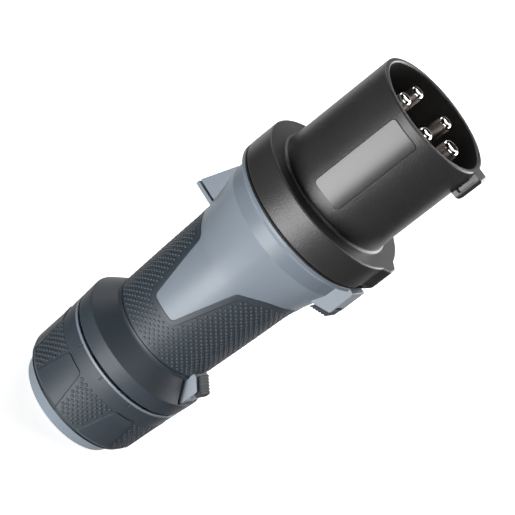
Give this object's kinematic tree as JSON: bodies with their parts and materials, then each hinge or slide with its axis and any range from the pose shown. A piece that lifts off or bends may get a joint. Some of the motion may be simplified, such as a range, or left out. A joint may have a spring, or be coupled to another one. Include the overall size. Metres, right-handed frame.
{
  "type": "industrial plug",
  "caption": "Large round industrial power plug with a shrouded pin face, key, flanged collar, soft-grip handle, sliding locks and a screwed cable gland nut.",
  "frame": {"origin": "centre of the cable entry on the gland nut's rear face, on which the plug stands", "axes": "+Z along the plug's axis towards its mouth, +X towards the lock slides, -Y towards the side that the picture shows"},
  "size_m": [0.0974, 0.0922, 0.2593],
  "materials": {
    "light_housing": "light blue-grey moulded polyamide, satin",
    "soft_grip": "dark slate soft-touch elastomer, matt with raised nubs",
    "black_moulding": "charcoal moulded polyamide, fine satin grain",
    "seal_rubber": "black sealing rubber, matt",
    "carrier_plastic": "dark insulating moulding, matt",
    "nickel_pins": "nickel-plated turned brass, bright",
    "steel_screws": "zinc-plated steel"
  },
  "bodies": {
    "housing": {"housing_shell": "light_housing", "housing_grip": "soft_grip", "gland_seal": "seal_rubber", "flange_seal": "seal_rubber", "front_collar": "black_moulding", "contact_carrier": "carrier_plastic", "pin_l1": "nickel_pins", "pin_l2": "nickel_pins", "pin_l3": "nickel_pins", "pin_n": "nickel_pins", "pin_pe": "nickel_pins", "pilot_pin": "nickel_pins", "terminal_screws": "steel_screws", "carrier_screws": "steel_screws"},
    "basket": {"clamp_basket": "black_moulding"},
    "nut": {"nut_core": "light_housing", "nut_grip": "soft_grip"},
    "front_slide": {"front_lock_slide": "soft_grip"},
    "rear_slide": {"rear_lock_slide": "soft_grip"}
  },
  "joints": [
    {"name": "gland_travel", "type": "slide", "parent": "housing", "child": "basket", "axis": [0, 0, 1], "range_m": [-0.006, 0]},
    {"name": "gland_turn", "type": "hinge", "parent": "basket", "child": "nut", "pos_m": [0, 0, 0], "axis": [0, 0, 1], "range_deg": [-540, 0]},
    {"name": "front_lock", "type": "slide", "parent": "housing", "child": "front_slide", "axis": [0, 0, 1], "range_m": [-0.004, 0]},
    {"name": "rear_lock", "type": "slide", "parent": "housing", "child": "rear_slide", "axis": [0, 0, 1], "range_m": [-0.004, 0]}
  ],
  "couplings": [
    {"joint": "gland_travel", "follows": "gland_turn", "m_per_rad": 0.00063662}
  ]
}
